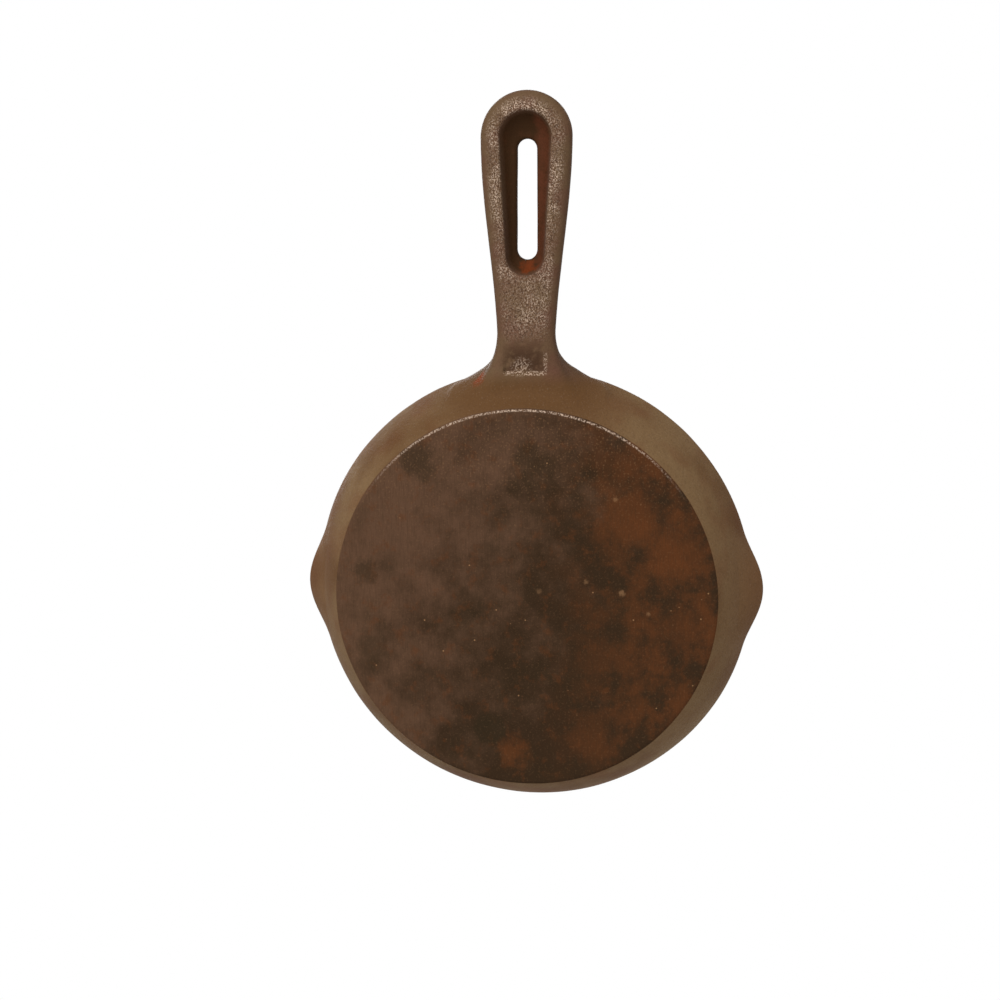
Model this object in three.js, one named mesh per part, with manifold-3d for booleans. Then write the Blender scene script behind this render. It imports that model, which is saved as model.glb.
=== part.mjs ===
// A small cast iron egg skillet with two pouring lips and a slotted handle.
// Millimetres, +Z up out of the pan. The origin is the middle of the flat underside,
// and the handle runs out along +X.
//
// The real skillet is a single sand casting. The whole casting is modelled first, and then
// divided on flat planes into the regions a cook would name, which meet face to face.

import * as THREE from 'three';
import { mergeVertices, toCreasedNormals } from 'three/addons/utils/BufferGeometryUtils.js';
import Module from 'manifold-3d';

const wasm = await Module();
wasm.setup();

// Pan
const RIM_RADIUS = 76.2; // outside of the rim, a nominal six inch pan
const PAN_HEIGHT = 25; // underside to the top of the rim
const BASE_RADIUS = 65; // flat underside, to its corner with the wall
const BASE_EDGE_RADIUS = 0.8; // that corner, slightly rounded
const WALL_THICKNESS = 4;
const WALL_BOW_RADIUS = 70; // outward bow of the wall, seen in section
const FLOOR_THICKNESS = 4.5;
const FLOOR_CORNER_RADIUS = 7; // inside corner between floor and wall

// Pouring lips, one on each side of the handle
const LIP_REACH = 4.8; // past the round of the rim
const LIP_HALF_WIDTH = 21; // along the rim
const LIP_DEPTH = 13; // from the top of the rim to where the lip leaves the wall
const LIP_DIP = 0.8; // how far its tip sits below the rim

// Handle
const HANDLE_LENGTH = 93.5; // rim to tip
const HANDLE_THICKNESS = 9.6;
const HANDLE_END_RADIUS = 15.4; // round end, seen from above
const NECK_HALF_WIDTH = 9.85;
const NECK_SPREAD = 0.05; // how fast the neck widens where it starts
const ROOT_HEIGHT = 12; // middle of the handle's thickness at the rim
const TIP_HEIGHT = 18.5; // the same at the round end
const EDGE_ROUNDNESS = 2.8; // power of the section's rounded outline, 2 is an ellipse

// Root, where the handle flares into the wall
const ROOT_LENGTH = 12;
const ROOT_SIDE_FLARE = 19;
const ROOT_TOP_FLARE = 4;
const ROOT_UNDER_FLARE = 1.6;
const ROOT_ROUNDNESS = 2.2;

// Hanging slot and the hollow round it, in the underside
const SLOT_WIDTH = 7;
const SLOT_LENGTH = 40;
const SLOT_TO_TIP = 16;
const SLOT_EDGE_BREAK = 0.8; // bevel round the slot on the top face
const HOLLOW_DEPTH = 5.4;
const HOLLOW_FAR_RADIUS = 8.8; // end of the hollow towards the tip
const HOLLOW_NEAR_RADIUS = 6.5; // end of the hollow towards the pan
const HOLLOW_TO_TIP = 6.8;
const HOLLOW_LENGTH = 54.2;
const HOLLOW_FLOOR = 0.8; // share of the way in to the slot at the hollow's deepest ring

// Shallow scoop under the root, left by the pattern
const SCOOP_LENGTH = 9;
const SCOOP_WIDTH = 15;
const SCOOP_DEPTH = 0.9;
const SCOOP_TO_RIM = 5.5; // its middle, out from the rim

// Heights and distances at which the casting is divided
const FLOOR_DIVISION = 0.5; // above the cooking surface
const HANDLE_DIVISION = 0.6; // out from the rim
const LIP_DIVISION = 0.6; // past the lip's end along the rim

// Facets
const TURN_STEPS = 96;
const BASE_EDGE_STEPS = 2;
const WALL_STEPS = 5;
const RIM_STEPS = 6;
const FLOOR_CORNER_STEPS = 4;
const SECTION_STEPS = 40;
const OUTLINE_STEPS = 8;
const SCOOP_STEPS = 24;
const ROOT_STATIONS = [1, 0.97, 0.9, 0.75, 0.5, 0.25];
const NECK_STEPS = 12;
const END_STEPS = 9;
const HOLLOW_STEPS = 4;
const CREASE_ANGLE = 0.5; // radians, facets that turn less than this shade as one smooth face
const CUT_OVERRUN = 1; // how far a cutter runs past the faces it opens

const { cos, sin, sqrt, hypot, atan2, PI } = Math;
const lerp = THREE.MathUtils.lerp;
const clamp = THREE.MathUtils.clamp;

// Section of the pan. The rim is a half round on the end of the wall.
const rimRound = WALL_THICKNESS / 2;
const rimCentre = new THREE.Vector2(RIM_RADIUS - rimRound, PAN_HEIGHT - rimRound);
const bowCentre = centreOfBow();
const bowMiddle = WALL_BOW_RADIUS - WALL_THICKNESS / 2;
const bowInside = WALL_BOW_RADIUS - WALL_THICKNESS;
const rimAngle = atan2(rimCentre.y - bowCentre.y, rimCentre.x - bowCentre.x);

// The centre of the circle that leaves the base corner and runs on into the round of the rim.
function centreOfBow() {
  const corner = new THREE.Vector2(BASE_RADIUS, 0);
  const across = rimCentre.clone().sub(corner);
  const apart = across.length();
  const fromCorner = WALL_BOW_RADIUS;
  const fromRim = WALL_BOW_RADIUS - rimRound;
  const along = (fromCorner ** 2 - fromRim ** 2 + apart ** 2) / (2 * apart);
  const inward = sqrt(fromCorner ** 2 - along ** 2);
  across.normalize();
  const centre = corner.addScaledVector(across, along);
  return centre.addScaledVector(new THREE.Vector2(-across.y, across.x), inward);
}

// Radius of the wall at a height, on a circle about the bow's centre.
function wallRadius(height, bow) {
  return bowCentre.x + sqrt(bow ** 2 - (height - bowCentre.y) ** 2);
}

// The centre of a round of the given radius that touches a level and the inside of a bow.
function roundOnLevel(level, radius, bow) {
  const height = level + radius;
  const centre = new THREE.Vector2(wallRadius(height, bow - radius), height);
  const angle = atan2(centre.y - bowCentre.y, centre.x - bowCentre.x);
  return { centre, radius, angle };
}

// Points along an arc of the section, from one angle to another.
function arc(centre, radius, from, to, steps) {
  const curve = new THREE.EllipseCurve(centre.x, centre.y, radius, radius, from, to, to < from);
  return curve.getPoints(steps);
}

function panSection() {
  const base = roundOnLevel(0, BASE_EDGE_RADIUS, WALL_BOW_RADIUS);
  const floor = roundOnLevel(FLOOR_THICKNESS, FLOOR_CORNER_RADIUS, bowInside);
  return [
    new THREE.Vector2(0, 0),
    ...arc(base.centre, base.radius, -PI / 2, base.angle, BASE_EDGE_STEPS),
    ...arc(bowCentre, WALL_BOW_RADIUS, base.angle, rimAngle, WALL_STEPS).slice(1),
    ...arc(rimCentre, rimRound, rimAngle, rimAngle + PI, RIM_STEPS).slice(1),
    ...arc(bowCentre, bowInside, rimAngle, floor.angle, WALL_STEPS).slice(1),
    ...arc(floor.centre, floor.radius, floor.angle, -PI / 2, FLOOR_CORNER_STEPS).slice(1),
    new THREE.Vector2(0, FLOOR_THICKNESS),
  ];
}

// Draws the wall out into a lip at each end of the Y axis: most at the rim, nothing below the lip.
function drawOutLips(geometry) {
  const position = geometry.attributes.position;
  const lipFoot = PAN_HEIGHT - LIP_DEPTH;
  for (let i = 0; i < position.count; i++) {
    const x = position.getX(i);
    const y = position.getY(i);
    const z = position.getZ(i);
    const alongRim = RIM_RADIUS * atan2(Math.abs(x), Math.abs(y));
    const height = clamp((z - lipFoot) / LIP_DEPTH, 0, 1);
    if (alongRim < LIP_HALF_WIDTH && height > 0) {
      const swell = (1 + cos(PI * alongRim / LIP_HALF_WIDTH)) / 2;
      const stretch = 1 + LIP_REACH * swell * height / hypot(x, y);
      position.setXYZ(i, x * stretch, y * stretch, z - LIP_DIP * swell * height ** 2);
    }
  }
}

function pan() {
  const geometry = new THREE.LatheGeometry(panSection(), TURN_STEPS);
  geometry.rotateX(PI / 2);
  drawOutLips(geometry);
  return toSolid(geometry);
}

// Handle, as a skin through sections that stand along +X
const tipX = RIM_RADIUS + HANDLE_LENGTH;
const endX = tipX - HANDLE_END_RADIUS;
const neckX = RIM_RADIUS + ROOT_LENGTH;

// Height of the middle of the handle: it climbs steadily from the rim to the round end.
function handleHeight(x) {
  return lerp(ROOT_HEIGHT, TIP_HEIGHT, (x - RIM_RADIUS) / (endX - RIM_RADIUS));
}

function undersideHeight(x) {
  return handleHeight(x) - HANDLE_THICKNESS / 2;
}

function topHeight(x) {
  return handleHeight(x) + HANDLE_THICKNESS / 2;
}

// Half width between the neck and the round end, one easy curve that meets the end squarely.
function neckWidth(x) {
  const s = (x - neckX) / (endX - neckX);
  const start = (s ** 3 - 2 * s ** 2 + s) * NECK_SPREAD * (endX - neckX);
  return start + lerp(NECK_HALF_WIDTH, HANDLE_END_RADIUS, s * s * (3 - 2 * s));
}

// One section: a rounded outline between two heights. Each point's X comes from place(y, z).
function section(halfWidth, low, high, roundness, place) {
  const ring = [];
  const middle = (low + high) / 2;
  const halfHeight = (high - low) / 2;
  for (let i = 0; i < SECTION_STEPS; i++) {
    const turn = 2 * PI * i / SECTION_STEPS;
    const y = halfWidth * Math.sign(cos(turn)) * Math.abs(cos(turn)) ** (2 / roundness);
    const z = middle + halfHeight * Math.sign(sin(turn)) * Math.abs(sin(turn)) ** (2 / roundness);
    ring.push(new THREE.Vector3(place(y, z), y, z));
  }
  return ring;
}

// The root sections lean from the wall's own curve, inside its thickness, to the upright neck.
function rootSection(flare) {
  const spread = 1 - sqrt(1 - flare ** 2);
  const bow = flare === 1 ? bowMiddle : WALL_BOW_RADIUS;
  const onWall = (y, z) => sqrt(wallRadius(z, bow) ** 2 - y ** 2);
  return section(
    NECK_HALF_WIDTH + ROOT_SIDE_FLARE * spread,
    undersideHeight(neckX) - ROOT_UNDER_FLARE * spread,
    topHeight(neckX) + ROOT_TOP_FLARE * spread,
    lerp(EDGE_ROUNDNESS, ROOT_ROUNDNESS, flare),
    (y, z) => lerp(neckX, onWall(y, z), flare),
  );
}

function neckSection(x) {
  return section(neckWidth(x), undersideHeight(x), topHeight(x), EDGE_ROUNDNESS, () => x);
}

// Towards the tip the sections narrow round the end and thin out to its rounded edge.
function endSection(turn) {
  const x = endX + HANDLE_END_RADIUS * sin(turn);
  const edge = HANDLE_THICKNESS / 2;
  const inset = Math.max(edge - (tipX - x), 0);
  const halfHeight = sqrt(edge ** 2 - inset ** 2);
  const middle = handleHeight(x);
  const halfWidth = HANDLE_END_RADIUS * cos(turn);
  return section(halfWidth, middle - halfHeight, middle + halfHeight, EDGE_ROUNDNESS, () => x);
}

function handleBlank() {
  const rings = ROOT_STATIONS.map(rootSection);
  for (let i = 0; i < NECK_STEPS; i++) {
    rings.push(neckSection(lerp(neckX, endX, i / NECK_STEPS)));
  }
  for (let i = 0; i < END_STEPS; i++) {
    rings.push(endSection(PI / 2 * i / END_STEPS));
  }
  const rootHeight = handleHeight(neckX);
  const heel = new THREE.Vector3(wallRadius(rootHeight, bowMiddle), 0, rootHeight);
  const tip = new THREE.Vector3(tipX, 0, handleHeight(tipX));
  return toSolid(loft(rings, heel, tip));
}

// A long outline on the X axis, seen from above: two round ends and the lines that touch both.
function longOutline(ends) {
  const { nearX, nearRadius, farX, farRadius } = ends;
  const touch = Math.acos((nearRadius - farRadius) / (farX - nearX));
  const outline = new THREE.Path();
  outline.absarc(farX, 0, farRadius, -touch, touch);
  outline.absarc(nearX, 0, nearRadius, touch, 2 * PI - touch);
  return outline.getPoints(OUTLINE_STEPS);
}

const slotFarX = tipX - SLOT_TO_TIP;
const slotEnds = {
  nearX: slotFarX - SLOT_LENGTH + SLOT_WIDTH / 2,
  nearRadius: SLOT_WIDTH / 2,
  farX: slotFarX - SLOT_WIDTH / 2,
  farRadius: SLOT_WIDTH / 2,
};

const hollowFarX = tipX - HOLLOW_TO_TIP;
const hollowEnds = {
  nearX: hollowFarX - HOLLOW_LENGTH + HOLLOW_NEAR_RADIUS,
  nearRadius: HOLLOW_NEAR_RADIUS,
  farX: hollowFarX - HOLLOW_FAR_RADIUS,
  farRadius: HOLLOW_FAR_RADIUS,
};

// Ends part of the way from one pair of round ends to another.
function endsBetween(a, b, share) {
  return {
    nearX: lerp(a.nearX, b.nearX, share),
    nearRadius: lerp(a.nearRadius, b.nearRadius, share),
    farX: lerp(a.farX, b.farX, share),
    farRadius: lerp(a.farRadius, b.farRadius, share),
  };
}

function grownEnds(ends, by) {
  return { ...ends, nearRadius: ends.nearRadius + by, farRadius: ends.farRadius + by };
}

// Lifts an outline onto a sloping face of the handle, some way above it.
function ringOn(ends, face, above) {
  return longOutline(ends).map((p) => new THREE.Vector3(p.x, p.y, face(p.x) + above));
}

// A cutter through rings stacked upwards, closed at the middle of its first and last ring.
function stackedCutter(rings) {
  const middle = (ring) => ring.reduce((sum, p) => sum.add(p), new THREE.Vector3());
  const ends = [rings[0], rings.at(-1)].map((ring) => middle(ring).divideScalar(ring.length));
  return toSolid(loft(rings, ...ends));
}

// The hollow sinks steeply from its edge and levels out towards the slot.
function hollowCutter() {
  const rings = [ringOn(hollowEnds, undersideHeight, -CUT_OVERRUN)];
  const lastTurn = Math.acos(1 - HOLLOW_FLOOR);
  for (let i = 0; i <= HOLLOW_STEPS; i++) {
    const turn = lastTurn * i / HOLLOW_STEPS;
    const ends = endsBetween(hollowEnds, slotEnds, 1 - cos(turn));
    rings.push(ringOn(ends, undersideHeight, HOLLOW_DEPTH * sin(turn)));
  }
  return stackedCutter(rings);
}

function slotCutter() {
  const bevelEnds = grownEnds(slotEnds, SLOT_EDGE_BREAK + CUT_OVERRUN);
  return stackedCutter([
    ringOn(slotEnds, undersideHeight, -CUT_OVERRUN),
    ringOn(slotEnds, topHeight, -SLOT_EDGE_BREAK),
    ringOn(bevelEnds, topHeight, CUT_OVERRUN),
  ]);
}

function scoopCutter() {
  const x = RIM_RADIUS + SCOOP_TO_RIM;
  const geometry = new THREE.SphereGeometry(1, SCOOP_STEPS, SCOOP_STEPS / 2);
  geometry.scale(SCOOP_LENGTH / 2, SCOOP_WIDTH / 2, SCOOP_DEPTH);
  geometry.translate(x, 0, undersideHeight(x));
  return toSolid(geometry);
}

function handle() {
  return handleBlank().subtract(hollowCutter()).subtract(slotCutter()).subtract(scoopCutter());
}

// A closed skin through rings of points that turn alike, drawn to a point at each end.
function loft(rings, firstPoint, lastPoint) {
  const count = rings[0].length;
  const points = [...rings.flat(), firstPoint, lastPoint];
  const lastRing = (rings.length - 1) * count;
  const first = points.length - 2;
  const last = points.length - 1;
  const index = [];
  for (let i = 0; i < count; i++) {
    const next = (i + 1) % count;
    index.push(first, next, i);
    for (let start = 0; start < lastRing; start += count) {
      const a = start + i;
      const b = start + next;
      index.push(a, b, b + count, a, b + count, a + count);
    }
    index.push(last, lastRing + i, lastRing + next);
  }
  const geometry = new THREE.BufferGeometry().setFromPoints(points);
  return geometry.setIndex(index);
}

// A solid from a closed geometry, without the empty triangles that a turned profile has on its axis.
function toSolid(geometry) {
  geometry.deleteAttribute('normal');
  geometry.deleteAttribute('uv');
  const merged = mergeVertices(geometry);
  const corners = merged.index.array;
  const triVerts = [];
  for (let i = 0; i < corners.length; i += 3) {
    const [a, b, c] = corners.slice(i, i + 3);
    if (a !== b && b !== c && c !== a) {
      triVerts.push(a, b, c);
    }
  }
  return new wasm.Manifold(new wasm.Mesh({
    numProp: 3,
    vertProperties: merged.attributes.position.array,
    triVerts: new Uint32Array(triVerts),
  }));
}

function toGeometry(solid) {
  const { vertProperties, triVerts } = solid.getMesh();
  const geometry = new THREE.BufferGeometry();
  geometry.setAttribute('position', new THREE.BufferAttribute(vertProperties, 3));
  geometry.setIndex(new THREE.BufferAttribute(triVerts, 1));
  return toCreasedNormals(geometry, CREASE_ANGLE);
}

// A block between two corners, to divide the casting with.
function block(low, high) {
  const size = new THREE.Vector3().subVectors(high, low);
  const geometry = new THREE.BoxGeometry(size.x, size.y, size.z);
  geometry.translate(low.x + size.x / 2, low.y + size.y / 2, low.z + size.z / 2);
  return toSolid(geometry);
}

// What lies inside a block, and what is left outside it.
function divide(solid, cutBlock) {
  return [solid.intersect(cutBlock), solid.subtract(cutBlock)];
}

// The casting, and its regions from the floor up
const FAR = 2 * (RIM_RADIUS + HANDLE_LENGTH);
const everyLow = new THREE.Vector3(-FAR, -FAR, -FAR);
const everyHigh = new THREE.Vector3(FAR, FAR, FAR);
const floorTop = FLOOR_THICKNESS + FLOOR_DIVISION;
const handleFrom = RIM_RADIUS + HANDLE_DIVISION;
const lipEnd = RIM_RADIUS * sin(LIP_HALF_WIDTH / RIM_RADIUS) + LIP_DIVISION;

const casting = pan().add(handle());
const [floorRegion, aboveFloor] = divide(
  casting,
  block(everyLow, new THREE.Vector3(FAR, FAR, floorTop)),
);
const [handleRegion, ring] = divide(
  aboveFloor,
  block(new THREE.Vector3(handleFrom, -FAR, -FAR), everyHigh),
);
const [rightLip, ringLessRight] = divide(
  ring,
  block(new THREE.Vector3(-lipEnd, 0, -FAR), new THREE.Vector3(lipEnd, FAR, FAR)),
);
const [leftLip, walls] = divide(
  ringLessRight,
  block(new THREE.Vector3(-lipEnd, -FAR, -FAR), new THREE.Vector3(lipEnd, 0, FAR)),
);
const [rearWall, frontWall] = divide(
  walls,
  block(new THREE.Vector3(0, -FAR, -FAR), everyHigh),
);

// Bare, lightly rusted iron: darker on the ground base, worn brighter on the handle
const baseIron = { color: 0x4a3426, roughness: 0.78, metalness: 0.35 };
const wallIron = { color: 0x6a5038, roughness: 0.62, metalness: 0.4 };
const handleIron = { color: 0x644e3e, roughness: 0.7, metalness: 0.4 };

function region(name, solid, finish) {
  const mesh = new THREE.Mesh(toGeometry(solid), new THREE.MeshStandardMaterial(finish));
  mesh.name = name;
  return mesh;
}

const skillet = new THREE.Group();
skillet.name = 'egg_skillet';
skillet.add(
  region('pan_floor', floorRegion, baseIron),
  region('front_wall', frontWall, wallIron),
  region('rear_wall', rearWall, wallIron),
  region('left_pour_spout', leftLip, wallIron),
  region('right_pour_spout', rightLip, wallIron),
  region('handle', handleRegion, handleIron),
);

export default skillet;
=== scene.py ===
"""A small cast iron egg skillet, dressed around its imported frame.

One smooth casting is worked out from the sizes below and divided on the frame's own planes, so
that each named region of the frame has a piece of its own and no seam shows between them.
Metres, +Z up out of the pan, the handle along +X, and the middle of the underside at the origin.
"""

import itertools
import math

import bmesh
import bpy
import numpy as np
from mathutils import Matrix, Vector, noise


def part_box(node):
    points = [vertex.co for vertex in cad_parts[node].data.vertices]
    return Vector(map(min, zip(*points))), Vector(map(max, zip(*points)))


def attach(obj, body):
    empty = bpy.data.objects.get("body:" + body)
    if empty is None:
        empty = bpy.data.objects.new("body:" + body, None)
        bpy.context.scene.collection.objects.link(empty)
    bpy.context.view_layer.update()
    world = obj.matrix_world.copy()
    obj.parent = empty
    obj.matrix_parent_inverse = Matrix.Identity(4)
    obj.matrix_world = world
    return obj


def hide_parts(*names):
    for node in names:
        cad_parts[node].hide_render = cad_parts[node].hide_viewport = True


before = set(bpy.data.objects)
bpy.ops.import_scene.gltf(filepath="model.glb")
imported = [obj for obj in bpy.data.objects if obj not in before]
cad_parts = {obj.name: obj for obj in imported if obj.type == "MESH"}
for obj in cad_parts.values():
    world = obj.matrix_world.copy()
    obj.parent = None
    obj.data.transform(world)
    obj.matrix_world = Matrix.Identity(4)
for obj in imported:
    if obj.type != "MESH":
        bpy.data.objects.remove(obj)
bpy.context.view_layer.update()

bl_info = {
    "name": "Egg skillet",
    "version": (1, 0, 0),
    "blender": (4, 5, 0),
    "location": "3D View > Sidebar > Skillet",
    "description": "Makes a small cast iron egg skillet with a rusted, worn finish",
    "category": "Object",
}

MM = 0.001
BODY = "root"
X, Y, Z = range(3)

# Values that keep sums from dividing by nothing, and a distance past all the iron
SMALL = 1e-3
FAR = 1.0

# Planes that divide the casting, from the frame
FLOOR_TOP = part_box("pan_floor")[1].z
HANDLE_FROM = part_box("handle")[0].x
LIP_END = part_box("right_pour_spout")[1].x


def length(name, description, default):
    """A size that a user may change, given here in millimetres."""
    return bpy.props.FloatProperty(
        name=name, description=description, default=default * MM, unit="LENGTH", precision=4
    )


def number(name, description, default):
    """A plain number that a user may change."""
    return bpy.props.FloatProperty(name=name, description=description, default=default)


def linear(code):
    """A colour written as six hex digits, as shares of light."""
    shades = [int(code[start : start + 2], 16) / 255 for start in (0, 2, 4)]
    return [shade / 12.92 if shade <= 0.04045 else ((shade + 0.055) / 1.055) ** 2.4 for shade in shades]


def colour(name, description, code):
    """A colour that a user may change."""
    return bpy.props.FloatVectorProperty(
        name=name, description=description, default=linear(code), size=3, min=0.0, max=1.0, subtype="COLOR"
    )


class SkilletSizes(bpy.types.PropertyGroup):
    """Sizes of the casting."""

    rim_radius: length("Rim radius", "Outside of the rim", 76.2)
    pan_height: length("Pan height", "Underside to the top of the rim", 25)
    base_radius: length("Base radius", "Flat underside, to its corner with the wall", 65)
    base_edge: length("Base edge", "Corner of underside and wall", 0.7)
    wall_thickness: length("Wall thickness", "Thickness of the wall", 4)
    wall_bow: length("Wall bow", "Radius of the wall's outward bow", 70)
    floor_thickness: length("Floor thickness", "Underside to the cooking surface", 4.5)
    floor_corner: length("Floor corner", "Inside corner of floor and wall", 7)
    lip_reach: length("Lip reach", "How far a pouring lip stands past the rim", 4.8)
    lip_half_width: length("Lip half width", "Half a lip's width along the rim", 21)
    lip_depth: length("Lip depth", "Rim to where a lip leaves the wall", 13)
    lip_dip: length("Lip dip", "How far a lip's tip sits below the rim", 0.8)
    handle_length: length("Handle length", "Rim to tip", 93.5)
    handle_thickness: length("Handle thickness", "Top to underside", 9.6)
    handle_end: length("Handle end", "Radius of the round end", 15.4)
    handle_edge: length("Handle edge", "How far in the handle rounds over", 9)
    root_edge: length("Root edge", "How far in the root rounds over", 5.5)
    neck_half_width: length("Neck half width", "Half the narrowest width", 9.85)
    root_height: length("Root height", "Middle of the handle at the rim", 12)
    tip_height: length("Tip height", "Middle of the handle at its round end", 18.5)
    root_length: length("Root length", "Rim to where the root starts to spread", 13.5)
    root_top_flare: length("Root top flare", "How far the root climbs at the rim", 5.5)
    root_under_flare: length("Root under flare", "How far the root drops at the rim", 1)
    root_fillet: length("Root fillet", "Fillet between root and wall, underneath", 3)
    root_web: length("Root web", "Fillet between root and wall, up at the rim", 12)
    root_spread: length("Root spread", "Handle's middle to where its fillets end on the wall", 33)
    scoop_from: length("Scoop start", "Start of the scoop under the root", 76.4)
    scoop_length: length("Scoop length", "Length of the scoop", 10)
    scoop_half_width: length("Scoop half width", "Half the scoop's width", 7)
    scoop_depth: length("Scoop depth", "Depth of the scoop at its start", 0.6)
    scoop_edge: length("Scoop edge", "Rounding of the scoop's edge", 0.7)
    slot_width: length("Slot width", "Width of the hanging slot", 6.8)
    slot_length: length("Slot length", "Length of the hanging slot", 40)
    slot_to_tip: length("Slot to tip", "Slot to the tip of the handle", 16)
    slot_edge: length("Slot edge", "Rounding of the slot's edges", 1.2)
    hollow_depth: length("Hollow depth", "Depth of the hollow in the underside", 5.8)
    hollow_far: length("Hollow far end", "Radius of its end towards the tip", 8.8)
    hollow_near: length("Hollow near end", "Radius of its end towards the pan", 6.5)
    hollow_to_tip: length("Hollow to tip", "Hollow to the tip of the handle", 6.8)
    hollow_length: length("Hollow length", "Length of the hollow", 54.2)
    hollow_edge: length("Hollow edge", "Rounding of the hollow's edge", 1.2)
    neck_spread: number("Neck spread", "How fast the neck widens where it starts", 0.05)
    edge_power: number("Edge power", "Power of the handle's section; 2 is an ellipse", 2.6)
    cell: length("Cell", "Width of the mesh's faces", 0.7)
    cell_height: length("Cell height", "Height of the mesh's faces", 0.9)
    unevenness: length("Unevenness", "Height of the casting's slow waves", 0.12)


class SkilletColours(bpy.types.PropertyGroup):
    """Colours of the iron."""

    wall: colour("Wall", "Smooth wall", "806546")
    # Also painted shade on the wall by the handle's root.
    wall_brown_and_shade: colour("Wall, brown", "Browner parts of the wall", "66482c")
    wall_red: colour("Wall, red", "Rusted tints on the wall", "6c4028")
    base: colour("Base", "Flat underside", "38281a")
    # Also the painted light across the underside.
    base_red_and_light: colour("Base, red", "Redder parts of the underside", "624735")
    base_rust: colour("Base, rust", "Rusted patches on the underside", "63391e")
    base_burnt: colour("Base, burnt", "Dark patches on the underside", "33281a")
    speck: colour("Speck", "Pale specks on the underside", "9a7350")
    handle: colour("Handle", "Pebbled handle", "6e573f")
    handle_red: colour("Handle, red", "Redder parts of the handle", "6a4a3a")
    # Also laid as painted highlights along the underside's corner and by the scoop.
    worn: colour("Worn", "Iron worn bright on crests and edges", "d4baa4")
    # Also painted shade on the handle's sides and in its scoop.
    pit_and_shade: colour("Pit", "Small pits in the handle", "4a3425")
    hollow: colour("Hollow", "Hollow and slot", "402a18")
    # Also paints the hollow's side that faces the key lamp lighter.
    hollow_rust_and_light: colour("Hollow, red", "Rust beside the slot", "5e3522")
    rust: colour("Rust", "Bright rust spots", "833a16")
    cooking: colour("Cooking surface", "Seasoned inside of the pan", "30261f")
    cooking_brown: colour("Cooking surface, brown", "Browner parts of the inside", "463426")


class WallSection:
    """The pan's section: where its arcs are centred and how far they turn."""

    def __init__(self, sizes):
        half = sizes.wall_thickness / 2
        self.rim_round = half
        self.rim = np.array([sizes.rim_radius - half, sizes.pan_height - half])
        self.outside = sizes.wall_bow
        self.middle = sizes.wall_bow - half
        self.inside = sizes.wall_bow - sizes.wall_thickness
        corner = np.array([sizes.base_radius, 0.0])
        across = self.rim - corner
        apart = np.hypot(*across)
        along = (self.outside**2 - self.middle**2 + apart**2) / (2 * apart)
        inward = math.sqrt(self.outside**2 - along**2)
        across = across / apart
        self.bow = corner + along * across + inward * np.array([-across[1], across[0]])
        self.rim_turn = self.turn_to(self.rim)
        self.base_corner = self.corner(0.0, sizes.base_edge, self.outside)
        self.floor_corner = self.corner(sizes.floor_thickness, sizes.floor_corner, self.inside)

    def turn_to(self, place):
        """Angle at which a place is seen from the bow's centre."""
        return math.atan2(place[1] - self.bow[1], place[0] - self.bow[0])

    def radius_at(self, height, bow):
        """Radius of the wall at a height, on a circle about the bow's centre."""
        return self.bow[0] + np.sqrt(bow**2 - (height - self.bow[1]) ** 2)

    def corner(self, level, radius, bow):
        """A round that touches a level and the inside of a bow: its centre, radius and last angle."""
        height = level + radius
        middle = np.array([self.radius_at(height, bow - radius), height])
        return middle, radius, self.turn_to(middle)


def rounded(distance, radius, height, turn, corner):
    """A distance whose corner is replaced by a round."""
    middle, size, last = corner
    in_corner = (radius > middle[0]) & (turn < last)
    return np.where(in_corner, np.hypot(radius - middle[0], height - middle[1]) - size, distance)


def pan_distance(x, y, z, sizes, section):
    """Distance to the pan's skin, below nothing inside the iron, and distance from the bow's centre."""
    radius = np.hypot(x, y)
    along_rim = sizes.rim_radius * np.arctan2(np.abs(x), np.abs(y))
    swell = 0.5 + 0.5 * np.cos(np.pi * np.clip(along_rim / sizes.lip_half_width, 0, 1))
    rise = np.clip((z - sizes.pan_height + sizes.lip_depth) / sizes.lip_depth, 0, 1)
    radius = radius - sizes.lip_reach * swell * rise
    height = z + sizes.lip_dip * swell * rise**2

    from_bow = np.hypot(radius - section.bow[0], height - section.bow[1])
    turn = np.arctan2(height - section.bow[1], radius - section.bow[0])
    body = np.maximum(from_bow - section.outside, -height)
    body = rounded(body, radius, height, turn, section.base_corner)
    room = np.maximum(from_bow - section.inside, sizes.floor_thickness - height)
    room = rounded(room, radius, height, turn, section.floor_corner)
    shell = np.maximum(body, -room)
    rim = np.hypot(radius - section.rim[0], height - section.rim[1]) - section.rim_round
    return np.where(turn > section.rim_turn, rim, shell), from_bow


class HandleLine:
    """Where the handle's outline, slot and hollow lie along X."""

    def __init__(self, sizes):
        self.tip = sizes.rim_radius + sizes.handle_length
        self.end = self.tip - sizes.handle_end
        self.neck = sizes.rim_radius + sizes.root_length
        self.climb = (sizes.tip_height - sizes.root_height) / (self.end - sizes.rim_radius)
        slot_far = self.tip - sizes.slot_to_tip
        slot_end = sizes.slot_width / 2
        self.slot = (slot_far - sizes.slot_length + slot_end, slot_end, slot_far - slot_end, slot_end)
        hollow_far = self.tip - sizes.hollow_to_tip
        hollow_near = hollow_far - sizes.hollow_length
        self.hollow = (
            hollow_near + sizes.hollow_near,
            sizes.hollow_near,
            hollow_far - sizes.hollow_far,
            sizes.hollow_far,
        )

    def middle(self, x, sizes):
        """Height of the handle's middle."""
        return sizes.root_height + self.climb * (x - sizes.rim_radius)


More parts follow.
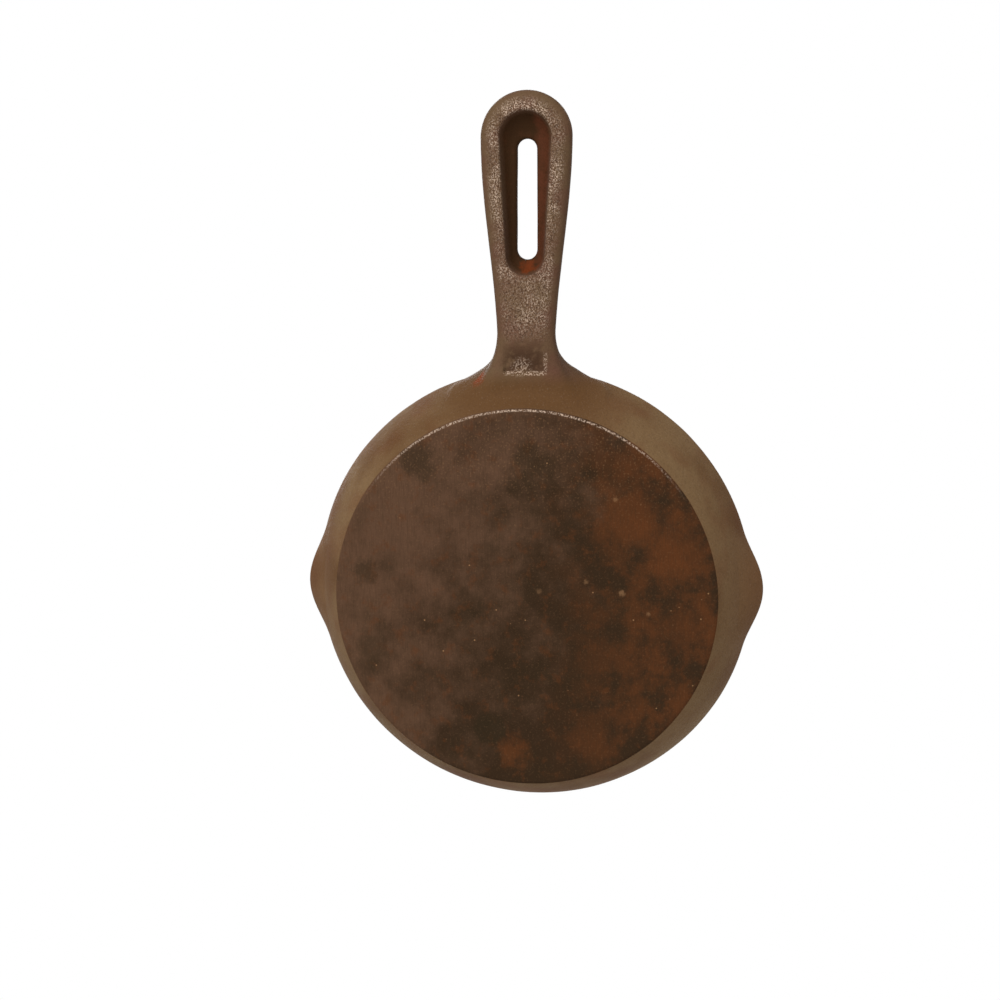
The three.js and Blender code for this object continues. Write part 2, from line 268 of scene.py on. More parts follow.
def outline_distance(x, y, ends):
    """Distance to a long outline on the X axis: two round ends and the lines that touch both."""
    near, near_radius, far, far_radius = ends
    span = far - near
    lean = (near_radius - far_radius) / span
    upright = math.sqrt(1 - lean**2)
    side = np.abs(y)
    along = x - near
    place = upright * along - lean * side
    at_near = np.hypot(along, side) - near_radius
    at_far = np.hypot(x - far, side) - far_radius
    between = upright * side + lean * along - near_radius
    return np.where(place < 0, at_near, np.where(place > upright * span, at_far, between))


def smooth_union(a, b, blend):
    """The lesser of two distances, with a fillet of about that size where they meet."""
    share = np.clip(0.5 + 0.5 * (b - a) / blend, 0, 1)
    return b + (a - b) * share - blend * share * (1 - share)


def smooth_cut(body, cutter, blend):
    """The distance to a body with a cutter taken out of it and the edge rounded over."""
    return -smooth_union(-body, cutter, blend)


def share_between(value, low, high):
    """Nothing at the low value, one at the high value, and even between."""
    return np.clip((value - low) / (high - low), 0, 1)


def plan_inset(x, y, z, sizes, section, line):
    """How far a point lies inside the handle's outline, whose root is an arc that touches neck and wall."""
    share = np.clip((x - line.neck) / (line.end - line.neck), 0, 1)
    start = (share**3 - 2 * share**2 + share) * sizes.neck_spread * (line.end - line.neck)
    ease = share * share * (3 - 2 * share)
    half_width = sizes.neck_half_width + start + (sizes.handle_end - sizes.neck_half_width) * ease

    wall = section.radius_at(np.clip(z, 0, sizes.pan_height), section.outside)
    arc = (line.neck**2 - wall**2 + sizes.neck_half_width**2) / (2 * (wall - sizes.neck_half_width))
    back = np.clip(line.neck - x, 0, line.neck * arc / (wall + arc))
    upright = np.sqrt(arc**2 - back**2)
    beside = (half_width + arc - upright - np.abs(y)) * upright / arc
    return np.where(x > line.end, sizes.handle_end - np.hypot(x - line.end, y), beside)


# The hollow's wall is upright at its edge, so its slope is worked out from this share of its depth down
LEAST_FALL = 0.15


def handle_distance(x, y, z, sizes, section, line):
    """Distance to the handle's skin, with its scoop, hollow and slot cut."""
    middle = line.middle(x, sizes)
    low = middle - sizes.handle_thickness / 2
    flare = np.clip((line.neck - x) / sizes.root_length, 0, 1) ** 2
    under = low - sizes.root_under_flare * flare
    top = middle + sizes.handle_thickness / 2 + sizes.root_top_flare * flare

    inset = plan_inset(x, y, z, sizes, section, line)
    power = sizes.edge_power
    half_height = (top - under) / 2
    rounding = sizes.handle_edge + (sizes.root_edge - sizes.handle_edge) * flare
    edge = np.maximum(1 - inset / rounding, 0)
    level = np.abs(z - (top + under) / 2) / half_height
    size = np.maximum((edge**power + level**power) ** (1 / power), SMALL)
    across = edge ** (power - 1) / rounding
    upward = level ** (power - 1) / half_height
    slope = np.maximum(size ** (1 - power) * np.hypot(across, upward), SMALL / half_height)
    blank = (size - 1) / slope

    outward = (x - sizes.scoop_from) / sizes.scoop_length
    scoop = z - low - sizes.scoop_depth * (1 - outward)
    scoop = np.maximum(scoop, sizes.scoop_from - x)
    scoop = np.maximum(scoop, np.abs(y) - sizes.scoop_half_width)
    blank = smooth_cut(blank, scoop, sizes.scoop_edge)

    slot = outline_distance(x, y, line.slot)
    hollow = outline_distance(x, y, line.hollow)
    width = np.maximum(np.maximum(slot, 0) - hollow, SMALL * MM)
    inward = np.clip(-hollow / width, 0, 1)
    fall = np.sqrt(1 - (1 - inward) ** 2)
    steep = sizes.hollow_depth * (1 - inward) / (width * np.maximum(fall, LEAST_FALL))
    bowl = (z - low - sizes.hollow_depth * fall) / np.sqrt(1 + steep**2)
    blank = smooth_cut(blank, np.maximum(hollow, bowl), sizes.hollow_edge)
    return smooth_cut(blank, slot, sizes.slot_edge)


LEAST_FILLET = 0.05 * MM


def root_fillet(y, z, sizes):
    """Fillet between root and wall: fuller up at the rim, and running out along the wall."""
    below_rim = sizes.pan_height - z
    up = z - sizes.root_height
    web = share_between(below_rim, sizes.wall_thickness / 4, sizes.handle_thickness / 2)
    web = web * share_between(up, -sizes.wall_thickness, sizes.wall_thickness)
    fillet = sizes.root_fillet + (sizes.root_web - sizes.root_fillet) * web
    spread = share_between(sizes.root_spread - np.abs(y), 0, sizes.root_spread - sizes.neck_half_width)
    return np.maximum(fillet * spread, LEAST_FILLET)


def casting_distance(points, sizes, section, line):
    """Distance to the whole casting's skin, below nothing inside the iron."""
    x, y, z = points
    pan, from_bow, handle = (np.full(np.shape(x), FAR) for _ in range(3))
    by_pan = x < line.neck + sizes.root_length
    pan[by_pan], from_bow[by_pan] = pan_distance(x[by_pan], y[by_pan], z[by_pan], sizes, section)
    by_handle = x > sizes.base_radius - sizes.root_length
    handle[by_handle] = handle_distance(x[by_handle], y[by_handle], z[by_handle], sizes, section, line)
    joined = smooth_union(pan, handle, root_fillet(y, z, sizes))
    return np.where((from_bow > section.middle) & by_handle, joined, pan)


def window(*spans):
    """The part of a grid that starts at each step given and has each length given."""
    return tuple(slice(start, start + count) for start, count in spans)


def skin_of(field, start, cell):
    """Points and four-sided faces of the skin where a field on a grid passes through nothing."""
    shape = np.array(field.shape) - 1
    place = np.zeros((*shape, 3))
    met = np.zeros(shape)
    crossings = []
    for axis in range(3):
        one, two = (axis + 1) % 3, (axis + 2) % 3
        spans = [(0, count) for count in field.shape]
        spans[axis] = (0, shape[axis])
        a = field[window(*spans)]
        spans[axis] = (1, shape[axis])
        b = field[window(*spans)]
        crossed = (a < 0) != (b < 0)
        share = np.where(crossed, a / np.where(crossed, a - b, 1), 0)
        crossings.append((crossed, a < 0))
        for step_one in (0, 1):
            for step_two in (0, 1):
                spans = [(0, count) for count in shape]
                spans[one] = (step_one, shape[one])
                spans[two] = (step_two, shape[two])
                here = crossed[window(*spans)]
                place[..., axis] += share[window(*spans)]
                place[..., one] += step_one * here
                place[..., two] += step_two * here
                met += here
    used = met > 0
    index = np.full(shape, -1)
    index[used] = np.arange(used.sum())
    points = start + cell * (np.argwhere(used) + place[used] / met[used][:, None])
    faces = [faces_across(axis, *crossing, index) for axis, crossing in enumerate(crossings)]
    return points.T, np.concatenate(faces)


def faces_across(axis, crossed, outward, index):
    """A face round each grid edge that the skin crosses, turned to look out of the iron."""
    one, two = (axis + 1) % 3, (axis + 2) % 3
    edges = np.argwhere(crossed)
    corners = []
    for back_one, back_two in ((1, 1), (0, 1), (0, 0), (1, 0)):
        cells = edges.copy()
        cells[:, one] -= back_one
        cells[:, two] -= back_two
        corners.append(index[tuple(cells.T)])
    faces = np.stack(corners, 1)
    turned = ~outward[tuple(edges.T)]
    faces[turned] = faces[turned][:, ::-1]
    return faces


def slope_of(distance, points, step):
    """How a distance changes along X, Y and Z at each point."""
    slopes = []
    for axis in range(3):
        ahead, behind = points.copy(), points.copy()
        ahead[axis] += step
        behind[axis] -= step
        slopes.append((distance(ahead) - distance(behind)) / (2 * step))
    return np.array(slopes)


SKIN_ROUNDS = 2
EVEN_ROUNDS = 3
SLOPE_STEP = 0.05 * MM


def onto_skin(distance, points, cell):
    """Moves points onto the skin, a cell at most each time."""
    for _ in range(SKIN_ROUNDS):
        slope = slope_of(distance, points, SLOPE_STEP)
        steep = np.maximum((slope**2).sum(0), SMALL)
        points = points - np.clip(distance(points) / steep, -cell, cell) * slope
    return points


def evened(points, faces):
    """Moves each point halfway to the middle of its neighbours."""
    total = np.zeros_like(points)
    count = np.zeros(points.shape[1])
    for corner in range(4):
        ends = faces[:, corner], faces[:, (corner + 1) % 4]
        for here, other in (ends, ends[::-1]):
            count += np.bincount(here, minlength=len(count))
            for axis in range(3):
                total[axis] += np.bincount(here, points[axis][other], len(count))
    return (points + total / count) / 2


LONG_WAVE = 28 * MM
SHORT_WAVE = 9 * MM
SHORT_SHARE = 0.4


def slow_waves(points, amount):
    """How far a sand casting's skin stands off its true form at each point."""
    heights = []
    for place in map(Vector, points.T):
        wave = noise.noise(place / LONG_WAVE) + SHORT_SHARE * noise.noise(place / SHORT_WAVE)
        heights.append(wave * amount)
    return np.array(heights)


COOKING, HOLLOW, CREST, SCOOP, NORMAL = "cooking", "hollow", "crest", "scoop", "casting_normal"


# Where each share starts and is full, measured from the edge of its region
COOKING_FADE = (-1.2 * MM, 1.2 * MM)
HOLLOW_FADE = (-0.2 * MM, 1.2 * MM)
HANDLE_FADE = (-4 * MM, 0.0)
TOP_FADE = (0.8 * MM, 1.8 * MM)
CREST_FADE = (-1.4 * MM, -0.3 * MM)
SCOOP_SIDE_FADE = (-2.5 * MM, 2.5 * MM)
SCOOP_START_FADE = (-0.2 * MM, 0.8 * MM)
SCOOP_STOP_FADE = (-2 * MM, 4 * MM)
SCOOP_RISE = 2 * MM


def finish_shares(points, sizes, section, line):
    """How far each point belongs to the cooking surface, the handle's hollow, its crest and its scoop."""
    x, y, z = points
    from_bow = pan_distance(x, y, z, sizes, section)[1]
    cooking = share_between(section.middle - from_bow, *COOKING_FADE) * (z > sizes.floor_thickness / 2)
    low = line.middle(x, sizes) - sizes.handle_thickness / 2
    along = share_between(x - line.neck, *HANDLE_FADE)
    below_top = share_between(low + sizes.handle_thickness - z, *TOP_FADE)
    inside = share_between(-outline_distance(x, y, line.hollow), *HOLLOW_FADE)
    hollow = along * below_top * inside
    crest = along * share_between(low - z, *CREST_FADE) * (1 - hollow)
    across = share_between(sizes.scoop_half_width - np.abs(y), *SCOOP_SIDE_FADE)
    start = share_between(x - sizes.scoop_from, *SCOOP_START_FADE)
    stop = share_between(sizes.scoop_from + sizes.scoop_length - x, *SCOOP_STOP_FADE)
    scoop = across * start * stop * (z < low + SCOOP_RISE)
    return {COOKING: cooking, HOLLOW: hollow, CREST: crest * (1 - scoop), SCOOP: scoop}


WHOLE = "whole_casting"

# The grid's top layer just clears the rim, so that no layer grazes its thin crest
RIM_CLEARANCE = 0.02 * MM

# Room round the casting, in cells
SIDE_ROOM = 2.3
LAYERS_BELOW = 2
LAYERS_ABOVE = 1.5


def whole_casting(sizes):
    """The mesh of the whole casting, made once."""
    found = bpy.data.meshes.get(WHOLE)
    if found:
        return found
    section = WallSection(sizes)
    line = HandleLine(sizes)
    cell = np.array([sizes.cell, sizes.cell, sizes.cell_height])
    side = sizes.rim_radius + sizes.lip_reach
    margin = SIDE_ROOM * sizes.cell
    layers = math.ceil(sizes.pan_height / sizes.cell_height) + LAYERS_BELOW
    top = sizes.pan_height + RIM_CLEARANCE
    low = np.array([-sizes.rim_radius - margin, -side - margin, top - layers * sizes.cell_height])
    high = np.array([line.tip + margin, side + margin, top + LAYERS_ABOVE * sizes.cell_height])
    ticks = [np.arange(start, stop, step) for start, stop, step in zip(low, high, cell)]
    grid = np.array(np.meshgrid(*ticks, indexing="ij"), np.float32)

    def distance(points):
        return casting_distance(points, sizes, section, line)

    points, faces = skin_of(distance(grid), low, cell)
    points = onto_skin(distance, points, sizes.cell)
    for _ in range(EVEN_ROUNDS):
        points = onto_skin(distance, evened(points, faces), sizes.cell)
    slope = slope_of(distance, points, SLOPE_STEP)
    slope /= np.sqrt((slope**2).sum(0))
    shares = finish_shares(points, sizes, section, line)
    points = points + slope * slow_waves(points, sizes.unevenness)

    mesh = bpy.data.meshes.new(WHOLE)
    mesh.from_pydata(points.T.tolist(), [], faces.tolist())
    normals = np.empty(points.size, np.float32)
    mesh.vertices.foreach_get("normal", normals)
    mesh.attributes.new(NORMAL, "FLOAT_VECTOR", "POINT").data.foreach_set("vector", normals)
    for name, share in shares.items():
        mesh.attributes.new(name, "FLOAT", "POINT").data.foreach_set("value", share.astype(np.float32))
    return mesh


# How close to a plane a vertex counts as lying on it, after a cut and during one
ON_PLANE = 1e-6
CUT_REACH = 1e-7


def lies_on(vertex, plane):
    """Whether a vertex lies on a plane."""
    return abs(vertex.co[plane[0]] - plane[1]) < ON_PLANE


def cut_off(made, plane):
    """Takes away what lies on the outer side of a plane."""
    axis, place, side = plane
    point, normal = Vector(), Vector()
    point[axis] = place
    normal[axis] = side
    everything = made.verts[:] + made.edges[:] + made.faces[:]
    bmesh.ops.bisect_plane(
        made, geom=everything, dist=CUT_REACH, plane_co=point, plane_no=normal, clear_outer=True
    )


def join_corners(made, first, second):
    """Joins the cuts' ends along the line where two planes meet, across the iron."""
    free = 3 - first[0] - second[0]
    open_ends = {vertex for edge in made.edges if edge.is_boundary for vertex in edge.verts}
    ends = [vertex for vertex in open_ends if lies_on(vertex, first) and lies_on(vertex, second)]
    ends.sort(key=lambda vertex: vertex.co[free])
    for start, stop in zip(ends[::2], ends[1::2]):
        made.edges.new((start, stop))


def close_cut(made, plane):
    """Closes the cut on a plane with flat faces."""
    edges = []
    for edge in made.edges:
        if (edge.is_boundary or edge.is_wire) and all(lies_on(vertex, plane) for vertex in edge.verts):
            edges.append(edge)
    normal = Vector()
    normal[plane[0]] = plane[2]
    filled = bmesh.ops.triangle_fill(made, use_beauty=True, edges=edges, normal=normal)
    for part in filled["geom"]:
        if isinstance(part, bmesh.types.BMFace):
            part.smooth = False


def piece_between(name, sizes, planes):
    """A closed piece of the casting, on the inner side of each plane: its axis, place and outer side."""
    made = bmesh.new()
    made.from_mesh(whole_casting(sizes))
    for face in made.faces:
        face.smooth = True
    for plane in planes:
        cut_off(made, plane)
    for first, second in itertools.combinations(planes, 2):
        if first[0] != second[0]:
            join_corners(made, first, second)
    for plane in planes:
        close_cut(made, plane)
    bmesh.ops.recalc_face_normals(made, faces=made.faces[:])
    if any(not edge.is_manifold for edge in made.edges):
        raise RuntimeError(name + " is not closed")
    mesh = bpy.data.meshes.new(name)
    made.to_mesh(mesh)
    made.free()
    keep_normals(mesh)
    piece = bpy.data.objects.new(name, mesh)
    bpy.context.scene.collection.objects.link(piece)
    return piece


def keep_normals(mesh):
    """Gives the skin the whole casting's normals, so that no seam shows, and cut faces their own."""
    held = np.empty(len(mesh.vertices) * 3, np.float32)
    mesh.attributes[NORMAL].data.foreach_get("vector", held)
    held = held.reshape(-1, 3)
    held /= np.maximum(np.linalg.norm(held, axis=1, keepdims=True), SMALL)
    corners = np.empty(len(mesh.loops), np.int32)
    mesh.loops.foreach_get("vertex_index", corners)
    normals = held[corners]
    smooth = np.empty(len(mesh.polygons), bool)
    mesh.polygons.foreach_get("use_smooth", smooth)
    for number in np.flatnonzero(~smooth):
        face = mesh.polygons[number]
        normals[list(face.loop_indices)] = face.normal
    mesh.normals_split_custom_set(normals.tolist())
    mesh.attributes.remove(mesh.attributes[NORMAL])


# Size of a spot's rags and place of its outer edge, as shares of its radius
SPOT_RAGS = 0.8
SPOT_EDGE = 1.2


class Finish:
    """The nodes of one material. Each input is a value or the output of an earlier step."""

    def __init__(self, name):
        self.material = bpy.data.materials.new(name)
        self.material.use_nodes = True
        self.tree = self.material.node_tree
        self.shader = self.tree.nodes["Principled BSDF"]
        coordinates = self.tree.nodes.new("ShaderNodeTexCoord").outputs
        self.place = coordinates["Object"]
        self.x, self.y, self.z = self.node("ShaderNodeSeparateXYZ", {0: self.place}).outputs
        self.aside = self.math("ABSOLUTE", self.y)
        upright = self.node("ShaderNodeSeparateXYZ", {0: coordinates["Normal"]}).outputs[2]
        self.flatness = self.math("ABSOLUTE", upright)
        squares = self.math("ADD", self.times(self.x, self.x), self.times(self.y, self.y))
        self.radius = self.math("SQRT", squares)

    def node(self, kind, inputs, **settings):
        """A node with its settings and inputs."""
        made = self.tree.nodes.new(kind)
        for key, value in settings.items():
            setattr(made, key, value)
        for key, value in inputs.items():
            self.put(made.inputs[key], value)
        return made

    def put(self, socket, value):
        """Gives a socket a value or an earlier step's output."""
        if isinstance(value, bpy.types.NodeSocket):
            self.tree.links.new(value, socket)
        else:
            socket.default_value = value

    def math(self, operation, a, b=0.0):
        """One step of arithmetic."""
        return self.node("ShaderNodeMath", {0: a, 1: b}, operation=operation).outputs[0]

    def times(self, first, *others):
        """The product of the values."""
        for other in others:
            first = self.math("MULTIPLY", first, other)
        return first

    def most(self, first, *others):
        """The greatest of the values."""
        for other in others:
            first = self.math("MAXIMUM", first, other)
        return first

    def rise(self, value, low, high):
        """Nothing up to the low value, one from the high value, and smooth between."""
        inputs = {"Value": value, "From Min": low, "From Max": high}
        return self.node("ShaderNodeMapRange", inputs, interpolation_type="SMOOTHSTEP").outputs["Result"]

    def fall(self, value, low, high):
        """One up to the low value, nothing from the high value, and smooth between."""
        return self.math("SUBTRACT", 1.0, self.rise(value, low, high))

    def beyond(self, place, start, full):
        """One past a place, growing from a start to where it is full, both in millimetres."""
        return self.rise(place, start * MM, full * MM)

    def within(self, place, full, stop):
        """One up to a place and nothing from where it stops, both in millimetres."""
        return self.fall(place, full * MM, stop * MM)

    def near(self, place, middle, full, stop):
        """One about a middle, fading on both sides, all in millimetres."""
        return self.within(self.math("ABSOLUTE", self.math("SUBTRACT", place, middle * MM)), full, stop)

    def share(self, name):
        """A share held by the mesh."""
        return self.node("ShaderNodeAttribute", {}, attribute_name=name).outputs["Fac"]

    def patches(self, size, detail=2.0, rough=0.5, shift=0.0, stretch=None):
        """Soft patches of about a size in millimetres, around one half."""
        place = self.place
        if stretch:
            inputs = {0: place, 1: stretch}
            place = self.node("ShaderNodeVectorMath", inputs, operation="MULTIPLY").outputs[0]
        if shift:
            place = self.node("ShaderNodeVectorMath", {0: place, 1: (shift, shift, shift)}).outputs[0]
        inputs = {"Vector": place, "Scale": 1 / (size * MM), "Detail": detail, "Roughness": rough}
        return self.node("ShaderNodeTexNoise", inputs).outputs["Fac"]

    def clouds(self, size, low, high, **grain):
        """Patches with clear ground below the low level and full cover above the high level."""
        return self.rise(self.patches(size, **grain), low, high)

    def specks(self, size, reach):
        """Small specks, one to a cell of about a size in millimetres."""
        inputs = {"Vector": self.place, "Scale": 1 / (size * MM)}
        far = self.node("ShaderNodeTexVoronoi", inputs).outputs["Distance"]
        return self.fall(far, reach / 2, reach)

    def away(self, place):
        """Distance from a place in millimetres."""
        inputs = {0: self.place, 1: Vector(place) * MM}
        return self.node("ShaderNodeVectorMath", inputs, operation="DISTANCE").outputs["Value"]

    def spot(self, place, radius, ragged=2.2, core=0.3):
        """A ragged spot about a place, both in millimetres. Its core and edge are shares of its radius."""
        wander = self.patches(radius * SPOT_RAGS, detail=5.0, rough=0.65)
        wander = self.math("SUBTRACT", wander, 0.5)
        far = self.math("ADD", self.away(place), self.times(wander, radius * ragged * MM))
        return self.fall(far, radius * core * MM, radius * SPOT_EDGE * MM)

    def lay(self, under, over, where, share=1.0):
        """One colour laid over another, where and as strongly as given."""
        inputs = {0: self.times(where, share), 6: self.paint(under), 7: self.paint(over)}
        return self.node("ShaderNodeMix", inputs, data_type="RGBA").outputs[2]

    def paint(self, colour):
        """A colour with its fourth share."""
        return colour if isinstance(colour, bpy.types.NodeSocket) else (*colour, 1.0)

    def blend(self, share, a, b):
        """A plain value between two others."""
        return self.node("ShaderNodeMix", {0: share, 2: a, 3: b}).outputs[0]


def wall_colour(finish, colours):
    """Smooth olive iron with brown clouds, a film of rust towards the lips and painted shade where the wall
    meets the handle's root.
    """
    film_share = 0.35
    lip_share = 0.5
    brown = finish.clouds(size=34, low=0.42, high=0.68, detail=3)
    shade = finish.lay(colours.wall, colours.wall_brown_and_shade, brown)
    film = finish.clouds(size=16, low=0.45, high=0.68, detail=3, shift=0.3)
    lips = finish.beyond(finish.aside, start=62, full=82)
    red = finish.most(finish.times(film, film_share), finish.times(lips, lip_share))
    shade = finish.lay(shade, colours.wall_red, red)
    # Painted shade: the wall is laid browner where it meets the handle's root.
    painted_root_shade = finish.beyond(finish.x, start=45, full=68)
    painted_root_shade = finish.times(painted_root_shade, finish.within(finish.aside, full=18, stop=42))
    shade = finish.lay(shade, colours.wall_brown_and_shade, painted_root_shade)
    soot = finish.clouds(size=3, low=0.35, high=0.75, detail=4)
    shade = finish.lay(shade, colours.wall_brown_and_shade, soot, share=0.18)
    grain = finish.clouds(size=0.8, low=0.45, high=0.72, detail=3, shift=0.6)
    shade = finish.lay(shade, colours.pit_and_shade, grain, share=0.22)
    glint = finish.clouds(size=0.5, low=0.6, high=0.75, shift=0.8)
    return finish.lay(shade, colours.worn, glint, share=0.1)


# Patches on the underside in millimetres: place along X and Y, radius, and how strong
RUST_PATCHES = (
    (31, 36, 13, 0.7),
    (17, 50, 12, 0.6),
    (-8, 52, 9, 0.4),
    (-54, -4, 6, 0.7),
    (-48, 22, 9, 0.4),
)
BURNT_PATCHES = (
    (47, -36, 8, 0.6),
    (-19, -52, 8, 0.5),
    (9, -55, 5, 0.5),
    (46, 4, 10, 0.4),
)
PALE_SPECKS = (
    (3, 33, 1.3, 0.5),
    (35, 31, 1, 0.4),
    (-4, 42, 0.8, 0.4),
    (6.6, 21, 0.9, 0.35),
    (3, 5, 1.1, 0.25),
)
ROUND_PATCH = (-46, -12.5, 0)
ROUND_RADIUS = 5.6


def lay_spots(finish, shade, spots, over):
    """A colour laid over the underside in each spot of a list."""
    for x, y, radius, share in spots:
        shade = finish.lay(shade, over, finish.spot((x, y, 0), radius), share)
    return shade


def base_colour(finish, colours):
    """Dark iron with red and burnt patches, rust on one side, fine grain and pale specks, painted lighter
    towards −Y and +X as if lit more from there.
    """
    painted_light_along_x = 4.0
    painted_light_along_y = -9.0
    painted_light_share = 0.55
    far_pepper = 0.1
    near_pepper = 0.3
    # Painted light: the underside is laid lighter towards −Y and +X, the side of the key lamp.
    lean = finish.math("ADD", finish.times(finish.y, painted_light_along_y), finish.times(finish.x, painted_light_along_x))
    cloud = finish.math("ADD", finish.patches(16, detail=7, rough=0.65), finish.times(lean, painted_light_share))
    shade = finish.lay(colours.base, colours.base_red_and_light, finish.rise(cloud, low=0.36, high=0.84))
    smoke = finish.clouds(size=18, low=0.48, high=0.68, detail=6, rough=0.6, shift=0.4)
    shade = finish.lay(shade, colours.base_burnt, smoke, share=0.3)
    rusty = finish.clouds(size=14, low=0.4, high=0.62, detail=7, rough=0.65, shift=0.7)
    rusty = finish.times(finish.beyond(finish.y, start=0, full=50), rusty)
    shade = finish.lay(shade, colours.base_rust, rusty, share=0.7)
    stain = finish.clouds(size=5, low=0.52, high=0.68, detail=6, rough=0.65, shift=0.9)
    shade = finish.lay(shade, colours.base_rust, stain, share=0.4)
    shade = lay_spots(finish, shade, RUST_PATCHES, colours.base_rust)
    shade = lay_spots(finish, shade, BURNT_PATCHES, colours.base_burnt)
    burnt = finish.spot(ROUND_PATCH, ROUND_RADIUS, ragged=0.5, core=0.8)
    shade = finish.lay(shade, colours.base_burnt, burnt, share=0.7)
    grain = finish.clouds(size=0.5, low=0.4, high=0.75, stretch=(0.12, 1, 1))
    shade = finish.lay(shade, colours.base_burnt, grain, share=0.25)
    towards_handle = finish.beyond(finish.x, start=20, full=60)
    pepper = finish.clouds(size=0.7, low=0.55, high=0.72)
    pepper = finish.times(pepper, finish.blend(towards_handle, far_pepper, near_pepper))
    shade = finish.lay(shade, colours.speck, pepper)
    here_and_there = finish.clouds(size=14, low=0.52, high=0.62, detail=1, shift=0.2)
    specks = finish.times(finish.specks(size=4, reach=0.09), here_and_there)
    shade = finish.lay(shade, colours.speck, specks, share=0.9)
    return lay_spots(finish, shade, PALE_SPECKS, colours.speck)


RUST_IN_HOLLOW = (111.6, 0.6, 14)
RUST_BY_ROOT = (73, -15.2, 12)
RUST_RADIUS = 3.4


def handle_colour(finish, colours):
    """Pebbled iron with pits, bright worn crests and a dark hollow, with painted shade on its sides and in
    the scoop, and a bright line by the scoop that is partly wear and partly painted highlight.
    """
    pits_beside = 0.2
    pits_on_crest = 0.9
    least_worn = 0.3
    least_by_root = 0.75
    red = finish.clouds(size=12, low=0.32, high=0.72, detail=6, rough=0.6, shift=0.5)
    shade = finish.lay(colours.handle, colours.handle_red, red)
    # Painted shade: the handle's sides, which face sideways away from the lamps, are darkened with the pit
    # colour in ragged clouds.
    painted_flank_shade = finish.fall(finish.flatness, low=0.15, high=0.8)
    painted_flank_shade = finish.times(painted_flank_shade, finish.clouds(size=3, low=0.2, high=0.7, detail=5, rough=0.6))
    shade = finish.lay(shade, colours.pit_and_shade, painted_flank_shade, share=0.55)
    crest = finish.share(CREST)
    pits = finish.clouds(size=0.6, low=0.5, high=0.62, detail=3, shift=0.1)
    pits = finish.times(pits, finish.blend(crest, pits_beside, pits_on_crest))
    shade = finish.lay(shade, colours.pit_and_shade, pits)
    bright = finish.clouds(size=0.4, low=0.48, high=0.62, detail=3, rough=0.6, stretch=(0.8, 1, 1))
    often = finish.blend(finish.clouds(size=7, low=0.4, high=0.62), least_worn, 1.0)
    outward = finish.blend(finish.beyond(finish.x, start=96, full=116), least_by_root, 1.0)
    shade = finish.lay(shade, colours.worn, finish.times(bright, crest, often, outward), share=0.95)
    # Painted shade: the scoop under the root is darkened with the pit colour, in ragged clouds.
    painted_scoop_shade = finish.times(finish.share(SCOOP), finish.clouds(size=2.2, low=0.25, high=0.55, detail=4))
    shade = finish.lay(shade, colours.pit_and_shade, painted_scoop_shade, share=0.95)
    shade = finish.lay(shade, hollow_colour(finish, colours), finish.share(HOLLOW))
    shade = finish.lay(shade, colours.rust, finish.spot(RUST_IN_HOLLOW, RUST_RADIUS), share=0.6)
    return finish.lay(shade, colours.worn, scoop_wear_and_highlight(finish))


def hollow_colour(finish, colours):
    """Dark iron, rusted on one side of the slot; that side is also painted lighter, as if lit by the key
    lamp.
    """
    rust_and_light_side_share = 0.35
    patch_share = 0.9
    # Partly rust, partly painted light: the hollow on the +Y side, whose wall faces the key lamp, is laid
    # lighter and redder.
    side = finish.times(finish.beyond(finish.y, start=1, full=5), rust_and_light_side_share)
    red = finish.math("ADD", side, finish.times(finish.patches(4, detail=6, rough=0.65), patch_share))
    return finish.lay(colours.hollow, colours.hollow_rust_and_light, finish.rise(red, low=0.45, high=0.95))


SCOOP_MARKS = (78.4, -1.2, 7.2)


def scoop_wear_and_highlight(finish):
    """A broken bright line on the edge where the wall ends in the scoop, and a cluster of marks by it:
    partly wear, partly painted highlight where the edges catch the lamps.
    """
    cluster_share = 0.55
    beside_share = 0.6
    low = finish.within(finish.z, full=8, stop=9)
    # Partly painted highlight: the line and the mark along one side sit on edges that catch the lamps.
    line = finish.near(finish.x, middle=76.3, full=0.3, stop=0.9)
    line = finish.times(line, finish.within(finish.aside, full=6.4, stop=7.4), low)
    cluster = finish.times(finish.within(finish.away(SCOOP_MARKS), full=1, stop=4.6), cluster_share)
    beside = finish.near(finish.y, middle=7, full=0.3, stop=0.9)
    beside = finish.times(beside, finish.beyond(finish.x, start=75.5, full=77))
    beside = finish.times(beside, finish.within(finish.x, full=81, stop=85), low, beside_share)
    broken = finish.clouds(size=0.5, low=0.48, high=0.62)
    return finish.times(finish.most(line, cluster, beside), broken)


def cooking_colour(finish, colours):
    """Dark seasoned iron, browner in patches."""
    brown = finish.clouds(size=12, low=0.4, high=0.8, detail=7, rough=0.65)
    shade = finish.lay(colours.cooking, colours.cooking_brown, brown, share=0.7)
    grain = finish.clouds(size=0.8, low=0.45, high=0.72, detail=3, shift=0.6)
    return finish.lay(shade, colours.cooking_brown, grain, share=0.25)


# How far inside the base's corner its bright line runs, in millimetres
BRIGHT_EDGE_INSET = 0.35


def worn_edge_and_highlight(finish, sizes):
    """A broken bright line on the corner of the underside, strongest towards the handle: partly wear,
    partly painted highlight on the side that faces the key lamp.
    """
    corner = sizes.base_radius / MM - BRIGHT_EDGE_INSET
    line = finish.near(finish.radius, middle=corner, full=0.1, stop=0.55)
    low = finish.within(finish.z, full=0.5, stop=1.0)
    # Painted highlight: the line is kept to the half that faces the key lamp.
    lit_side = finish.rise(finish.math("DIVIDE", finish.x, finish.radius), low=0.5, high=1.0)
    broken = finish.clouds(size=0.6, low=0.4, high=0.64, detail=3)
    return finish.times(line, low, lit_side, broken)


